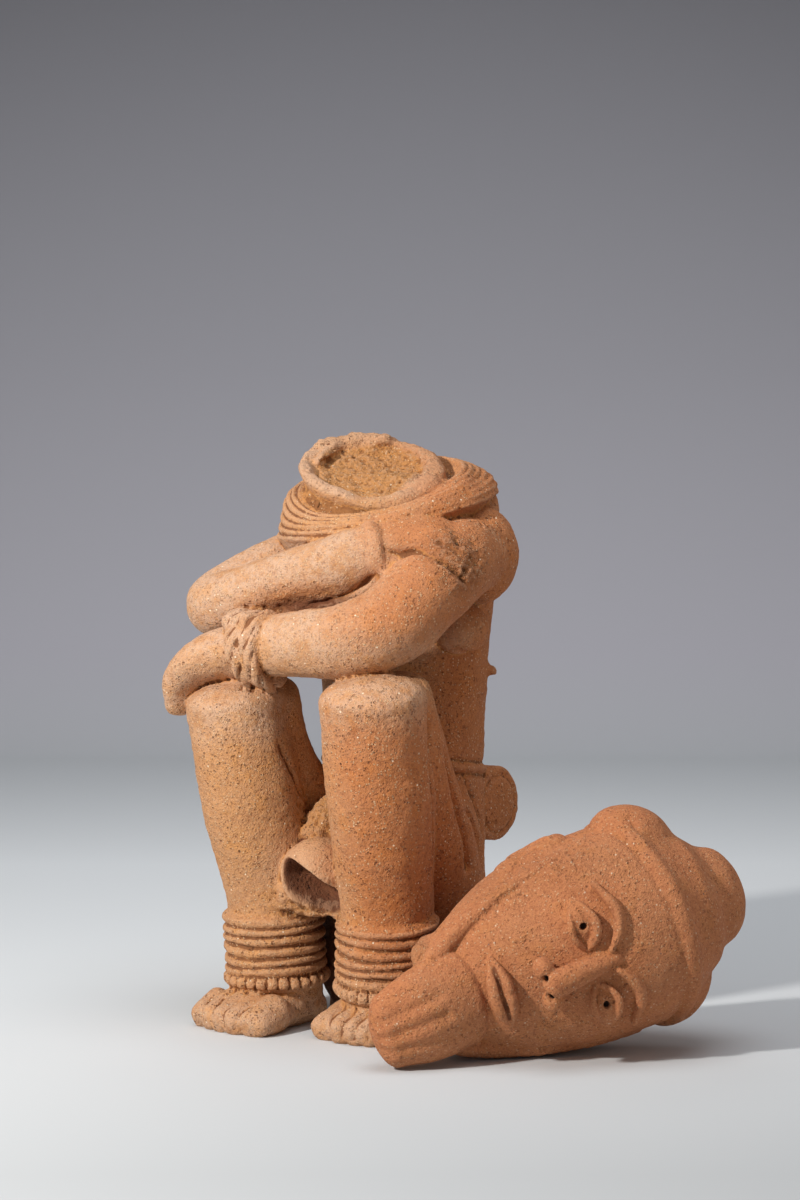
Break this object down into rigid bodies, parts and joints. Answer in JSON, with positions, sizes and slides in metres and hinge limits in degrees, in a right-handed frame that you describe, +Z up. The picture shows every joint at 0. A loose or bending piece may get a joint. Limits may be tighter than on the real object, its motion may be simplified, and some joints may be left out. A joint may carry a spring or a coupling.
{
  "type": "nok terracotta figure",
  "caption": "Ancient terracotta figure squatting on a low seat, forearms crossed over its knees, broken at the neck, with its bearded, capped head lying beside its feet.",
  "frame": {"origin": "middle of the flat underside of the low seat, on the ground", "axes": "+Z up; the figure faces -Y and its left side is at +X, where the loose head lies"},
  "size_m": [0.359, 0.2448, 0.3825],
  "materials": {
    "body_clay": "matt, coarse, unglazed fired clay with pale grit and ochre earth in its hollows",
    "head_clay": "matt, coarse, unglazed fired clay, slightly redder and smoother than the body"
  },
  "bodies": {
    "root": {"seated_body": "body_clay", "broken_head": "head_clay"}
  },
  "joints": []
}
